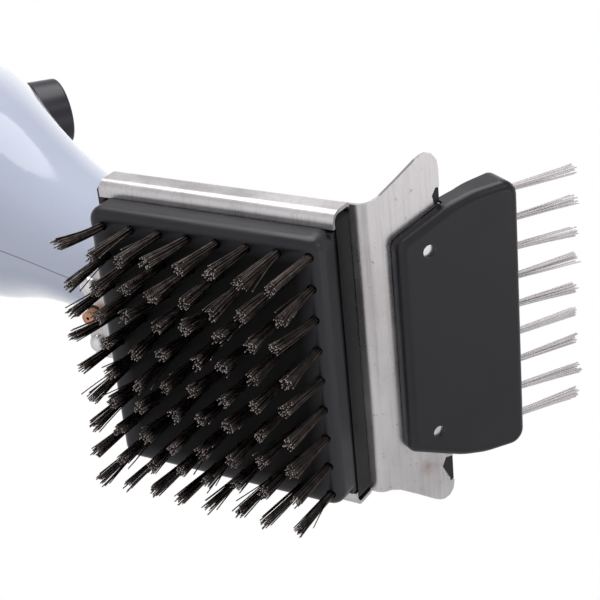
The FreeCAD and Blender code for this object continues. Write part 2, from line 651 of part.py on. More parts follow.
stufts = new_body("SideTuftBody")
s = sketch_on(stufts, "XY_Plane", "SideTuftProfile", p("side_level"))
b0 = SF - p("side_tuft_seat")
polygon(s, [(b0, y0s), (p("side_tuft_end"), y0s), (p("side_tuft_end"), y0s + p("side_tuft_tip_r")), (b0, y0s + p("side_tuft_base_r"))])
srev = stufts.newObject("PartDesign::Revolution", "SideTuftBundle")
srev.Profile = s
srev.ReferenceAxis = (s, ["Edge1"])
srev.Angle = 360
doc.recompute()
assert stufts.Shape.Volume > 50
row_of(stufts, srev, "SideTuftRow")
final(stufts, "side_bristle_tufts", WING_BASE, WING_ROT)

sanch = new_body("SideAnchorBody")
s = sketch_on(sanch, "XY_Plane", "SideAnchorSketch", p("side_level") - 0.25)
polygon(s, [(b0 - 1.55, y0s - 1.0), (b0 - 0.05, y0s - 1.0), (b0 - 0.05, y0s + 1.0), (b0 - 1.55, y0s + 1.0)])
sa = pad(sanch, s, 0.5, "SideAnchor")
doc.recompute()
row_of(sanch, sa, "SideAnchorRow")
final(sanch, "side_tuft_anchors", WING_BASE, WING_ROT)

# ------------------------------------------------------------------ reservoir
# One smooth tube of oval stations, hollowed by the wall and split at y = 0.
# The stations change from tall to wide along the length, so the skin is lofted
# through closed splines worked out from the station table in the sheet.


def oval(x, z, a, b):
    c = Part.BSplineCurve()
    n = 24
    c.interpolate(Points=[V(x, a * math.sin(2 * math.pi * i / n), z - b * math.cos(2 * math.pi * i / n)) for i in range(n)], PeriodicFlag=True)
    return Part.Wire([c.toShape()])


def skin(inset, x_front, x_rear):
    rows = [tuple(float(sheet.get("st_%s_%s" % (tag, k))) for k in "xzab") for tag, *_ in STATIONS]
    wires = []
    for i, (x, z, a, b) in enumerate(rows):
        if inset and (x > x_front or x < x_rear):
            continue
        wires.append(oval(x, z, a - inset, b - inset))
    if inset:
        x, z, a, b = rows[-1]
        wires.append(oval(x_rear, z, a - inset, b - inset))
    return Part.makeLoft(wires, True, False)


def solid_feature(name, shape):
    o = doc.addObject("Part::Feature", name)
    o.Shape = shape
    return o


wall = float(sheet.get("wall"))
outer = solid_feature("ReservoirOuter", skin(0.0, 0, 0))
hollow_space = solid_feature("ReservoirHollow", skin(wall, -20.0, float(sheet.get("end_x")) + wall))

rear_foot = box("RearFoot", p("foot_rear"), p("foot_front"), -p("foot_half"), p("foot_half"), TF + m, p("foot_top"))
rear_foot_r = doc.addObject("Part::Fillet", "RearFootRounded")
rear_foot_r.Base = rear_foot
doc.recompute()
rear_foot_r.Edges = [(int(n[4:]), 3.0, 3.0) for n in edges_where(rear_foot.Shape, lambda e: vertical(e) and abs(e.Vertexes[0].Point.x - NUM["foot_rear"]) < 1e-6)]
front_foot = box("FrontFoot", p("foot_front"), p("pad_foot_front"), -p("pad_foot_half"), p("pad_foot_half"), B, p("pad_foot_top"))
front_foot_r = doc.addObject("Part::Fillet", "FrontFootRounded")
front_foot_r.Base = front_foot
doc.recompute()
front_foot_r.Edges = [(int(n[4:]), 8.0, 8.0) for n in edges_where(front_foot.Shape, lambda e: vertical(e) and abs(e.Vertexes[0].Point.x - NUM["pad_foot_front"]) < 1e-6)]

# air valve seat, on an axis leaning forwards by valve_tilt
TILT = p("valve_tilt")
VALVE_ROT = App.Rotation(Y_AX, NUM["valve_tilt"])
VALVE_BASE = (p("valve_x"), 0, p("valve_z"))


def on_valve(w):
    w = Q.of(w)
    return (p("valve_x") + w * qsin(TILT), 0, p("valve_z") + w * qcos(TILT))


def valve_cyl(name, r, w0, w1):
    o = doc.addObject("Part::Cylinder", name)
    bind(o, "Radius", r)
    bind(o, "Height", Q.of(w1) - w0)
    return put(o, on_valve(w0), VALVE_ROT)


eye_x, eye_z = p("eye_x"), p("eye_z")
seat_boss = valve_cyl("ValveSeat", p("seat_r"), p("seat_bottom"), p("seat_top"))
front_bosses = [cyl("FrontBoss%s" % t, 5.4, p("front_screw_end") + 2.5 - B, (p("front_screw_x"), sgn * p("front_screw_y"), B)) for t, sgn in (("L", 1), ("R", -1))]
rear_bosses = [cyl("RearBoss%s" % t, 4.6, p("rear_screw_end") + 4.5 - TF - m, (p("rear_screw_x"), sgn * p("rear_screw_y"), TF + m)) for t, sgn in (("L", 1), ("R", -1))]
skin_solid = fuse("ReservoirFilled", [outer, rear_foot_r, front_foot_r, seat_boss])
trimmed = cut("ReservoirTrimmed", skin_solid, fuse("ReservoirClear", [
    box("BelowPlate", WX - 0.3, 20, -40, 40, -10, B),
    valve_cyl("SpotFace", p("seat_r") + 0.01, p("seat_top"), 40)]))
inside = cut("HollowKept", hollow_space, fuse("HollowFill", [
    valve_cyl("SeatInside", 14.0, p("seat_bottom"), p("seat_top") + 4), box("FloorRear", -70, p("foot_front"), -30, 30, 10, p("foot_top") - 1),
    box("FloorFront", p("foot_front") - 0.01, 10, -30, 30, 10, p("pad_foot_top"))] + front_bosses + rear_bosses))
bores = fuse("ReservoirBores", [
    valve_cyl("ValveBore", p("valve_r") + 0.1, -40, 20),
    cyl("NeckBore", p("neck_r") + 0.1, 12, (p("end_x") - 2, 0, p("end_z")), "+X"),
    cyl("TubeBore", p("grommet_r"), p("foot_top") + 6 - TF, (p("tube_x"), 0, TF)),
] + [cyl("FrontInsertBore%s" % t, p("insert_r"), p("front_screw_end") + 0.5 - B, (p("front_screw_x"), sgn * p("front_screw_y"), B)) for t, sgn in (("L", 1), ("R", -1))]
  + [cyl("RearInsertBore%s" % t, p("insert_r"), p("rear_screw_end") + 0.5 - TF - m, (p("rear_screw_x"), sgn * p("rear_screw_y"), TF + m)) for t, sgn in (("L", 1), ("R", -1))])
reservoir = cut("ReservoirWhole", cut("ReservoirShell", trimmed, inside), bores)
left = common("LeftShell", reservoir, box("LeftSide", -400, 60, 0, 120, -20, 300))
right = common("RightShell", reservoir, box("RightSide", -400, 60, -120, 0, -20, 300))
final(left, "body_left_shell")
final(right, "body_right_shell")

# hanging eye: its saddle follows the skin under the handle and is welded to it
eye_blank = fuse("EyeBlank", [
    cyl("EyeBarrel", p("eye_outer"), 2 * p("eye_half"), (eye_x, -p("eye_half"), eye_z), "+Y"),
    box("EyeWeb", eye_x - p("eye_outer"), eye_x + p("eye_outer"), -p("eye_half"), p("eye_half"), eye_z, p("eye_top"))])
eye_rooted = cut("EyeSeated", eye_blank, outer)
eye = cut("HangEye", eye_rooted, cyl("EyeBore", p("eye_r"), 4 * p("eye_half"), (eye_x, -2 * p("eye_half"), eye_z), "+Y"))
final(eye, "hang_eye")

# ------------------------------------------------------------------ fasteners and outlet


def screws(name, label, x, y, z_head, z_end, head_r, head_h, domed):
    """Two fasteners driven upwards; the flat heads carry a driver recess, the domes are plain."""
    out = []
    for t, sgn in (("L", 1), ("R", -1)):
        shank = cyl("%sShank%s" % (name, t), p("screw_r"), Q.of(z_end) - z_head, (x, sgn * y, z_head))
        if domed:
            ball_r = (head_r * head_r + head_h * head_h) / (2 * head_h)
            ball = doc.addObject("Part::Sphere", "%sDome%s" % (name, t))
            bind(ball, "Radius", ball_r)
            put(ball, (x, sgn * y, z_head - head_h + ball_r))
            head = common("%sHead%s" % (name, t), ball, cyl("%sRim%s" % (name, t), head_r, head_h, (x, sgn * y, z_head - head_h)))
            out.append(fuse("%sRivet%s" % (name, t), [shank, head]))
            continue
        head = cone("%sHead%s" % (name, t), head_r - 0.5, head_r, head_h, (x, sgn * y, z_head - head_h))
        drive = fuse("%sDrive%s" % (name, t), [
            box("%sDriveA%s" % (name, t), x - 1.7, x + 1.7, sgn * y - 0.4, sgn * y + 0.4, z_head - head_h - 1, z_head - head_h + 1.1),
            box("%sDriveB%s" % (name, t), x - 0.4, x + 0.4, sgn * y - 1.7, sgn * y + 1.7, z_head - head_h - 1, z_head - head_h + 1.1)])
        out.append(cut("%sScrew%s" % (name, t), fuse("%sBlank%s" % (name, t), [shank, head]), drive))
    final(bundle(name, out), label)


def inserts(name, label, x, y, z0, z1):
    out = []
    for t, sgn in (("L", 1), ("R", -1)):
        out.append(cut("%s%s" % (name, t), cyl("%sOuter%s" % (name, t), p("insert_r"), Q.of(z1) - z0, (x, sgn * y, z0)),
                       cyl("%sBore%s" % (name, t), p("screw_r"), Q.of(z1) - z0 + 2, (x, sgn * y, Q.of(z0) - 1))))
    final(bundle(name, out), label)


screws("RearRivets", "rear_dome_rivets", p("rear_screw_x"), p("rear_screw_y"), TF, p("rear_screw_end"), p("rear_head_r"), p("rear_head_h"), True)
screws("FrontScrews", "front_pan_screws", p("front_screw_x"), p("front_screw_y"), B - m, p("front_screw_end"), p("front_head_r"), p("front_head_h"), False)
inserts("RearSleeves", "rear_rivet_sleeves", p("rear_screw_x"), p("rear_screw_y"), TF + m + 0.3, p("rear_screw_end") + 0.4)
inserts("FrontInserts", "front_threaded_inserts", p("front_screw_x"), p("front_screw_y"), B + 0.3, p("front_screw_end") + 0.4)

tube_blank = cyl("TubeBlank", p("tube_r"), p("tube_top") - p("tube_bottom"), (p("tube_x"), 0, p("tube_bottom")))
tube = cut("OutletTube", tube_blank, fuse("TubeBores", [
    cyl("TubeMain", p("tube_bore"), p("tube_top") - p("tube_bottom"), (p("tube_x"), 0, p("tube_bottom") + 2)),
    cyl("TubeOrifice", p("tube_orifice_r"), 6, (p("tube_x"), 0, p("tube_bottom") - 1))]))
final(tube, "outlet_tube")
sleeve = cut("OutletGrommet", cyl("GrommetBody", p("grommet_r"), p("foot_top") + 1 - TF, (p("tube_x"), 0, TF)),
    cyl("GrommetBore", p("tube_r"), 40, (p("tube_x"), 0, TF - 2)))
final(sleeve, "outlet_grommet")

# ------------------------------------------------------------------ air valve
# Modelled upright about its own axis and leaned forwards when placed.
vb = fuse("ValveBodyBlank", [
    cyl("ValveBarrel", p("valve_r"), -p("valve_bottom") - 0.6, (0, 0, p("valve_bottom"))),
    cyl("ValveFlange", p("valve_flange_r"), -p("seat_top") - 0.6, (0, 0, p("seat_top")))])
vbody = cut("ValveBody", vb, fuse("ValveBodyBores", [
    cyl("StemBore", p("stem_bore"), 40, (0, 0, p("valve_bottom") + 2.6)),
    cyl("FloorPort", 1.5, 10, (2.2, 0, p("valve_bottom") - 2)),
    cyl("VentPort", 1.0, 20, (0, 0, -14.0), "+X")]))
final(vbody, "air_valve_body", VALVE_BASE, VALVE_ROT)
nut_blank = doc.addObject("Part::Prism", "LockNutBlank")
nut_blank.Polygon = 6
bind(nut_blank, "Circumradius", 13.2)
bind(nut_blank, "Height", 4.5)
put(nut_blank, (0, 0, p("seat_bottom") - 4.6))
nut = cut("LockNut", nut_blank, cyl("LockNutBore", p("valve_r"), 8, (0, 0, p("seat_bottom") - 6)))
final(nut, "air_valve_lock_nut", VALVE_BASE, VALVE_ROT)
stem_solid = cyl("StemRod", p("stem_r"), p("stem_top") - p("stem_bottom"), (0, 0, p("stem_bottom")))
grooves = []
for i, w in enumerate((-5.5, -9.5)):
    ring = cut("StemGroove%d" % i, cyl("GrooveOut%d" % i, p("stem_r") + 1, 1.6, (0, 0, w - 0.8)), cyl("GrooveIn%d" % i, 2.72, 1.6, (0, 0, w - 0.8)))
    grooves.append(ring)
stem = cut("ValveStem", stem_solid, fuse("StemCuts", grooves + [
    box("StemFlat", 2.9, 6, -6, 6, 2.5, 12), cyl("StemPilot", 1.3, 12, (0, 0, -1)),
    cyl("StemWay", 1.0, 12, (0, 0, -14.0), "+X"), cyl("StemFeed", 1.2, 8, (2.2, 0, -21.5))]))
final(stem, "air_valve_stem", VALVE_BASE, VALVE_ROT)
final(bundle("StemRings", [torus("RingUpper", 3.38, 0.65, (0, 0, -5.5)), torus("RingLower", 3.38, 0.65, (0, 0, -9.5))]), "stem_o_rings", VALVE_BASE, VALVE_ROT)

kb = new_body("KnobBody")
s = sketch_on(kb, "XZ_Plane", "KnobProfile")
KR, KT, KH = p("knob_r"), p("knob_top_r"), p("knob_h")
# revolved half section: skirt, flat top with a dished centre, hollow underside, hub
polygon(s, [(p("stem_r"), 2.0), (7.0, 2.0), (7.0, KH - 3.6), (KR - 2.2, KH - 3.6), (KR - 2.2, 0.0), (KR, 0.0), (KT, KH), (7.5, KH), (6.5, KH - 1.2),
            (4.6, KH - 1.2), (4.6, KH - 4.4), (p("stem_r"), KH - 4.4)])
kr = kb.newObject("PartDesign::Revolution", "KnobTurned")
kr.Profile = s
kr.ReferenceAxis = (s, ["V_Axis"])
kr.Angle = 360
doc.recompute()
assert kb.Shape.Volume > 100


def round_edge(e, r, z):
    c = e.Curve
    return hasattr(c, "Radius") and abs(c.Radius - r) < 1e-4 and at_z(e, z)


k1 = fillet(kb, kr, edges_where(kr.Shape, lambda e: round_edge(e, NUM["knob_top_r"], NUM["knob_h"])), 1.5, "KnobRim")
kb.Tip = k1
final(kb, "valve_knob", VALVE_BASE, VALVE_ROT)
ks_head = cone("KnobScrewHead", 3.9, 3.4, 2.2, (0, 0, KH - 4.4))
ks_shank = cyl("KnobScrewShank", 1.3, KH - 4.4 + 1.0, (0, 0, -1.0))
ks = cut("KnobScrew", fuse("KnobScrewBlank", [ks_head, ks_shank]), fuse("KnobScrewDrive", [
    box("KnobDriveA", -2.0, 2.0, -0.4, 0.4, KH - 3.3, KH), box("KnobDriveB", -0.4, 0.4, -2.0, 2.0, KH - 3.3, KH)]))
final(ks, "knob_screw", VALVE_BASE, VALVE_ROT)

# ------------------------------------------------------------------ filler
EX, EZ, NR = p("end_x"), p("end_z"), p("neck_r")
neck_blank = fuse("FillNeckBlank", [
    cyl("NeckTube", NR, -(p("neck_end") - EX - 7.5), (p("neck_end"), 0, EZ), "+X"),
    cyl("NeckFlange", 16.8, 2.0, (EX - 3.2, 0, EZ), "+X")])
neck = cut("FillNeck", neck_blank, cyl("NeckHollow", p("neck_bore"), 40, (p("neck_end") - 5, 0, EZ), "+X"))
final(neck, "fill_neck")
seal = cut("NeckSeal", cyl("NeckSealBlank", 16.4, 1.2, (EX - 1.2, 0, EZ), "+X"), cyl("NeckSealHole", NR, 4, (EX - 2, 0, EZ), "+X"))
final(seal, "fill_neck_seal")
ring = cut("NeckRing", cyl("NeckRingBlank", 15.3, 3.6, (EX + p("wall"), 0, EZ), "+X"), cyl("NeckRingHole", NR, 8, (EX, 0, EZ), "+X"))
final(ring, "fill_neck_lock_ring")

cap = new_body("CapBody")
s = sketch_on(cap, "XY_Plane", "CapDisc")
circle(s, 0, 0, p("cap_r"))
cp = pad(cap, s, p("cap_skirt") - p("cap_end"), "CapPad")
doc.recompute()
q1 = fillet(cap, cp, edges_where(cp.Shape, lambda e: round_edge(e, NUM["cap_r"], NUM["cap_skirt"] - NUM["cap_end"])), 2.2, "CapRim")
s = sketch_on(cap, "XY_Plane", "CapCavity")
circle(s, 0, 0, p("cap_bore"))
pocket(cap, s, p("cap_skirt") - p("cap_end") - 3.4, "CapCavityCut", True)
s = sketch_on(cap, "XY_Plane", "CapFlute")
circle(s, p("cap_r") + 1.0, 0, 1.8)
cf = pocket(cap, s, p("cap_skirt") - p("cap_end") - 3.6, "CapFluteCut", True)
cpp = cap.newObject("PartDesign::PolarPattern", "CapFlutes")
cpp.Originals = [cf]
cpp.Axis = (plane_of(cap, "Z_Axis"), [""])
cpp.Angle = 360
cpp.Occurrences = 20
cap.Tip = cpp
doc.recompute()
final(cap, "fill_cap", (p("cap_skirt"), 0, EZ), ROTS["-X"])
gasket = cyl("CapGasket", 13.9, 1.5, (0, 0, 0), "-X")
final(gasket, "fill_cap_gasket", (p("neck_end") - 0.3, 0, EZ), ROTS["-X"])

# ------------------------------------------------------------------ checks and export
doc.recompute()
for o in doc.Objects:
    bad = [st for st in o.State if "Invalid" in st or "Error" in st]
    assert not bad, "%s is in state %s" % (o.Name, o.State)
os.makedirs("parts", exist_ok=True)
labels = [o.Label for o in FINAL]
assert len(set(labels)) == len(labels) <= 60
whole = App.BoundBox()
for o in FINAL:
    assert not o.Shape.isNull() and o.Shape.isValid(), o.Label
    assert o.Shape.Volume > 0, o.Label
    whole.add(o.Shape.BoundBox)
    print("%-26s solids %3d  volume %10.1f" % (o.Label, len(o.Shape.Solids), o.Shape.Volume))
for o in FINAL:
    o.Shape.exportStep("parts/%s.step" % o.Label)
print("box x %.5f %.5f  y %.5f %.5f  z %.5f %.5f" % (whole.XMin, whole.XMax, whole.YMin, whole.YMax, whole.ZMin, whole.ZMax))
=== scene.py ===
import json
import math
import random

import bpy
from mathutils import Matrix, Vector


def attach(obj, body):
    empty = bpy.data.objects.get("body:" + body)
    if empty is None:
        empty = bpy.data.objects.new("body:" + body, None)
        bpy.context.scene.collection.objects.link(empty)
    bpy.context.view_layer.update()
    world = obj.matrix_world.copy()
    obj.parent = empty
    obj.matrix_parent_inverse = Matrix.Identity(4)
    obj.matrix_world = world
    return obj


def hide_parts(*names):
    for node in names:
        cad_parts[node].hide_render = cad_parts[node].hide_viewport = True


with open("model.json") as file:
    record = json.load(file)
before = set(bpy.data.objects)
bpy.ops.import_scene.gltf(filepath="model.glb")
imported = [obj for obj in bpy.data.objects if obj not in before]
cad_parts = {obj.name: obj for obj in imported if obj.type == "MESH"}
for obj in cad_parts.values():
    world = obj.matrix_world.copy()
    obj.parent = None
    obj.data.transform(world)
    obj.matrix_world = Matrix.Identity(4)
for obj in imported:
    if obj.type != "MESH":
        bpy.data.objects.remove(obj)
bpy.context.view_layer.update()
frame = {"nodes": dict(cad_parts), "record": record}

scene = bpy.context.scene
NODES = frame["nodes"]
MM = 0.001
OFF = Vector((0.1320295, 0.0, 0.022))          # bristle face centre in the row frame
WING = math.radians(57.0)
WING_O = Vector((0.047, 0.0, 0.0215)) + OFF
E_S = Vector((math.cos(WING), 0, math.sin(WING)))
E_N = Vector((-math.sin(WING), 0, math.cos(WING)))
E_Y = Vector((0, 1, 0))

# ---------------------------------------------------------------- camera
cam_data = bpy.data.cameras.new("camera")
cam_data.lens = 90.3139
cam_data.sensor_width = 36.0
cam_data.clip_start = 0.01
cam_data.clip_end = 50.0
cam = bpy.data.objects.new("camera", cam_data)
scene.collection.objects.link(cam)
RIGHT = Vector((0.861487923, 0.089027534, 0.499912648))
DOWN = Vector((0.149087451, 0.896771641, -0.416621599))
AHEAD = Vector((-0.485398280, 0.433445179, 0.759285050))
eye = Vector((0.388519269, -0.225858686, -0.325745770))
cam.matrix_world = Matrix((
    (RIGHT.x, -DOWN.x, -AHEAD.x, eye.x),
    (RIGHT.y, -DOWN.y, -AHEAD.y, eye.y),
    (RIGHT.z, -DOWN.z, -AHEAD.z, eye.z),
    (0, 0, 0, 1)))
scene.camera = cam
scene.view_settings.view_transform = "Standard"
scene.view_settings.look = "None"


# ---------------------------------------------------------------- materials
class Mat:
    def __init__(self, name):
        self.m = bpy.data.materials.new(name)
        self.m.use_nodes = True
        self.t = self.m.node_tree
        self.b = next(n for n in self.t.nodes if n.type == "BSDF_PRINCIPLED")
        self.coord = self.t.nodes.new("ShaderNodeTexCoord")

    def n(self, kind, **kw):
        node = self.t.nodes.new(kind)
        for k, v in kw.items():
            setattr(node, k, v)
        return node

    def link(self, a, b):
        self.t.links.new(a, b)

    def set(self, name, value):
        self.b.inputs[name].default_value = value

    def mapping(self, scale=(1, 1, 1), rot=(0, 0, 0), loc=(0, 0, 0)):
        mp = self.n("ShaderNodeMapping")
        mp.inputs["Scale"].default_value = scale
        mp.inputs["Rotation"].default_value = rot
        mp.inputs["Location"].default_value = loc
        self.link(self.coord.outputs["Object"], mp.inputs["Vector"])
        return mp.outputs["Vector"]

    def noise(self, scale, detail=3.0, rough=0.5, stretch=(1, 1, 1), rot=(0, 0, 0), distortion=0.0):
        nt = self.n("ShaderNodeTexNoise")
        nt.inputs["Scale"].default_value = scale
        nt.inputs["Detail"].default_value = detail
        nt.inputs["Roughness"].default_value = rough
        nt.inputs["Distortion"].default_value = distortion
        self.link(self.mapping(stretch, rot), nt.inputs["Vector"])
        return nt.outputs["Fac"]

    def ramp(self, fac, stops):
        r = self.n("ShaderNodeValToRGB")
        els = r.color_ramp.elements
        while len(els) < len(stops):
            els.new(0.5)
        for e, (pos, col) in zip(els, stops):
            e.position = pos
            e.color = col if len(col) == 4 else (*col, 1)
        self.link(fac, r.inputs["Fac"])
        return r.outputs["Color"]

    def remap(self, fac, a, b, lo, hi):
        mr = self.n("ShaderNodeMapRange")
        mr.clamp = True
        for k, v in (("From Min", a), ("From Max", b), ("To Min", lo), ("To Max", hi)):
            mr.inputs[k].default_value = v
        self.link(fac, mr.inputs["Value"])
        return mr.outputs["Result"]

    def mix(self, fac, a, b, mode="MIX"):
        mx = self.n("ShaderNodeMix", data_type="RGBA", blend_type=mode)
        self.link(fac, mx.inputs["Factor"]) if not isinstance(fac, float) else setattr(mx.inputs["Factor"], "default_value", fac)
        for k, v in (("A", a), ("B", b)):
            sock = [s for s in mx.inputs if s.name == k and s.type == "RGBA"][0]
            if isinstance(v, (tuple, list)):
                sock.default_value = (*v, 1) if len(v) == 3 else v
            else:
                self.link(v, sock)
        return [s for s in mx.outputs if s.type == "RGBA"][0]

    def math(self, op, a, b=None):
        mt = self.n("ShaderNodeMath", operation=op)
        for i, v in enumerate((a, b)):
            if v is None:
                continue
            if isinstance(v, (int, float)):
                mt.inputs[i].default_value = v
            else:
                self.link(v, mt.inputs[i])
        return mt.outputs[0]

    def xyz(self):
        s = self.n("ShaderNodeSeparateXYZ")
        self.link(self.coord.outputs["Object"], s.inputs[0])
        return s.outputs

    def near(self, centre, radius):
        """1 at a point, falling to 0 at radius, in the row frame."""
        vm = self.n("ShaderNodeVectorMath", operation="DISTANCE")
        self.link(self.coord.outputs["Object"], vm.inputs[0])
        vm.inputs[1].default_value = centre
        return self.remap(vm.outputs["Value"], 0.0, radius, 1.0, 0.0)

    def bump(self, fac, strength, distance):
        bp = self.n("ShaderNodeBump")
        bp.inputs["Strength"].default_value = strength
        bp.inputs["Distance"].default_value = distance
        self.link(fac, bp.inputs["Height"])
        self.link(bp.outputs["Normal"], self.b.inputs["Normal"])
        return bp


def tank_plastic():
    k = Mat("tank_plastic")
    k.set("IOR", 1.5)
    cloud = k.noise(14.0, 2.0)
    col = k.ramp(cloud, [(0.3, (0.520, 0.565, 0.700)), (0.7, (0.550, 0.595, 0.730))])
    s = k.xyz()
    away = k.math("ABSOLUTE", s["Y"])
    seam = k.remap(away, 0.00010, 0.00034, 1.0, 0.0)
    low = k.mix(seam, col, (0.20, 0.20, 0.24))
    k.link(low, k.b.inputs["Base Color"])
    k.link(k.remap(k.noise(60.0, 2.0), 0.3, 0.7, 0.08, 0.12), k.b.inputs["Roughness"])
    h = k.math("ADD", k.math("MULTIPLY", k.noise(900.0, 2.0), 0.05), k.math("MULTIPLY", seam, -1.0))
    k.bump(h, 0.25, 0.0002)
    return k.m


def steel():
    k = Mat("bracket_steel")
    k.set("Metallic", 1.0)
    broad = k.noise(30.0, 4.0, 0.6)
    streak = k.noise(1.0, 5.0, 0.65, stretch=(900, 28, 900))
    fleck = k.noise(700.0, 2.0)
    base = k.ramp(broad, [(0.30, (0.64, 0.615, 0.62)), (0.55, (0.76, 0.74, 0.75)), (0.75, (0.82, 0.80, 0.81))])
    warm = k.ramp(streak, [(0.36, (0.78, 0.70, 0.69)), (0.50, (1, 1, 1)), (0.7, (1.0, 0.965, 0.955))])
    c1 = k.mix(0.38, base, warm, "MULTIPLY")
    dots = k.remap(fleck, 0.66, 0.76, 0.0, 0.35)
    c2 = k.mix(dots, c1, (0.22, 0.17, 0.15))
    smear = k.remap(k.noise(260.0, 3.0), 0.40, 0.62, 0.25, 1.0)
    spot = k.math("MULTIPLY", k.remap(k.near(tuple(OFF + Vector((0.0572, 0.0480, 0.0362))), 0.0052), 0.0, 0.7, 0.0, 0.55), smear)
    c3 = k.mix(spot, c2, (0.34, 0.23, 0.19))
    k.link(c3, k.b.inputs["Base Color"])
    rough = k.math("ADD", k.remap(broad, 0.3, 0.7, 0.24, 0.38), k.math("MULTIPLY", dots, 0.3))
    k.link(rough, k.b.inputs["Roughness"])
    hh = k.math("ADD", k.math("MULTIPLY", streak, 0.5), k.math("MULTIPLY", k.noise(180.0, 3.0), 0.5))
    k.bump(hh, 0.14, 0.00025)
    return k.m


def black_plastic(name, col=(0.0093, 0.0090, 0.0142), rough=(0.30, 0.42), field=False):
    k = Mat(name)
    k.set("IOR", 1.5)
    n1 = k.noise(45.0, 4.0)
    lo = tuple(c * 0.8 for c in col)
    hi = tuple(c * 1.35 for c in col)
    base = k.ramp(n1, [(0.3, lo), (0.7, hi)])
    dust = k.remap(k.noise(1500.0, 2.0), 0.68, 0.76, 0.0, 0.10)
    shade = k.mix(dust, base, (0.16, 0.155, 0.16))
    if field:
        # the face between the tufts gets painted shade (darker, less specular); the rim is left as it is
        s = k.xyz()
        ax = k.math("ABSOLUTE", k.math("SUBTRACT", s["X"], OFF.x - 0.001))
        inx = k.remap(ax, 0.034, 0.041, 1.0, 0.0)
        iny = k.remap(k.math("ABSOLUTE", s["Y"]), 0.039, 0.045, 1.0, 0.0)
        inz = k.remap(s["Z"], OFF.z + 0.0002, OFF.z + 0.0010, 1.0, 0.0)
        painted_tuft_shade = k.math("MULTIPLY", k.math("MULTIPLY", inx, iny), inz)
        shade = k.mix(painted_tuft_shade, shade, (0.0030, 0.0028, 0.0034))
        # front edge: painted highlight on the pad, painted shade of the wing on the flange
        front = k.math("MULTIPLY", k.remap(s["X"], OFF.x + 0.0388, OFF.x + 0.0412, 0.0, 1.0), k.remap(s["X"], OFF.x + 0.0424, OFF.x + 0.0428, 1.0, 0.0))
        painted_rim_highlight = k.math("MULTIPLY", front, k.remap(s["Z"], OFF.z + 0.0085, OFF.z + 0.0110, 1.0, 0.0))
        painted_flange_shade = k.math("MULTIPLY", front, k.remap(s["Z"], OFF.z + 0.0100, OFF.z + 0.0116, 0.0, 1.0))
        shade = k.mix(painted_rim_highlight, shade, (0.0240, 0.0235, 0.0290))
        shade = k.mix(painted_flange_shade, shade, (0.0045, 0.0043, 0.0058))
        # specular is lowered under the painted shade between the tufts and on the flange front
        k.link(k.math("SUBTRACT", 0.5, k.math("ADD", k.math("MULTIPLY", painted_tuft_shade, 0.38), k.math("MULTIPLY", painted_flange_shade, 0.26))), k.b.inputs["Specular IOR Level"])
    k.link(shade, k.b.inputs["Base Color"])
    k.link(k.remap(n1, 0.3, 0.7, rough[0], rough[1]), k.b.inputs["Roughness"])
    k.bump(k.noise(2200.0, 2.0), 0.10, 0.0001)
    return k.m


def wire_metal(name, lo, hi, rough, metallic=1.0, scale=350.0):
    k = Mat(name)
    k.set("Metallic", metallic)
    nn = k.noise(scale, 3.0, 0.6)
    k.link(k.ramp(nn, [(0.32, lo), (0.68, hi)]), k.b.inputs["Base Color"])
    k.link(k.remap(nn, 0.3, 0.7, rough[0], rough[1]), k.b.inputs["Roughness"])
    return k.m


M_TANK = tank_plastic()
M_STEEL = steel()
M_BLOCK = black_plastic("block_plastic", field=True)
M_KNOB = black_plastic("knob_plastic", (0.026, 0.023, 0.033), (0.30, 0.38))
M_WIRE = wire_metal("dark_wire", (0.045, 0.036, 0.033), (0.15, 0.125, 0.115), (0.32, 0.5))
M_WIRE_END = wire_metal("dark_wire_end", (0.30, 0.26, 0.25), (0.62, 0.55, 0.53), (0.3, 0.45))
M_BRIGHT = wire_metal("bright_wire", (0.80, 0.755, 0.765), (0.92, 0.885, 0.895), (0.45, 0.55), metallic=0.0, scale=60.0)
M_COPPER = wire_metal("copper", (0.50, 0.24, 0.14), (0.78, 0.44, 0.29), (0.28, 0.46), scale=500.0)
M_SCREW = wire_metal("screw_steel", (0.80, 0.80, 0.81), (0.92, 0.92, 0.93), (0.20, 0.32), scale=200.0)
M_BRASS = wire_metal("brass", (0.55, 0.38, 0.15), (0.72, 0.53, 0.25), (0.25, 0.4), scale=200.0)
M_RUBBER = black_plastic("rubber", (0.018, 0.018, 0.018), (0.6, 0.75))

WEAR = {
    "reservoir_plastic": M_TANK, "neck_plastic": M_TANK, "bracket_steel": M_STEEL, "screw_steel": M_SCREW,
    "brass_insert": M_BRASS, "outlet_copper": M_COPPER, "seal_rubber": M_RUBBER, "black_plastic": M_BLOCK,
    "knob_plastic": M_KNOB, "dark_wire": M_WIRE, "bright_wire": M_BRIGHT,
}
for sub in frame["record"]["subparts"]:
    o = NODES[sub["node"]]
    o.data.materials.clear()
    o.data.materials.append(WEAR[sub["material_slot"]])


# ---------------------------------------------------------------- wire tufts
def tube(verts, faces, marks, path, radius, sides=6):
    """One wire along a path of points; its far end gets its own mark."""
    start = len(verts)
    axis = (path[-1] - path[0]).normalized()
    u = axis.orthogonal().normalized()
    v = axis.cross(u)
    for p_ in path:
        for i in range(sides):
            a = 2 * math.pi * i / sides
            verts.append(p_ + u * (math.cos(a) * radius) + v * (math.sin(a) * radius))
    for k in range(len(path) - 1):
        for i in range(sides):
            a0 = start + k * sides + i
            a1 = start + k * sides + (i + 1) % sides
            faces.append((a0, a1, a1 + sides, a0 + sides))
            marks.append(0)
    faces.append(tuple(start + i for i in reversed(range(sides))))
    marks.append(0)
    last = start + (len(path) - 1) * sides
    faces.append(tuple(last + i for i in range(sides)))
    marks.append(1)


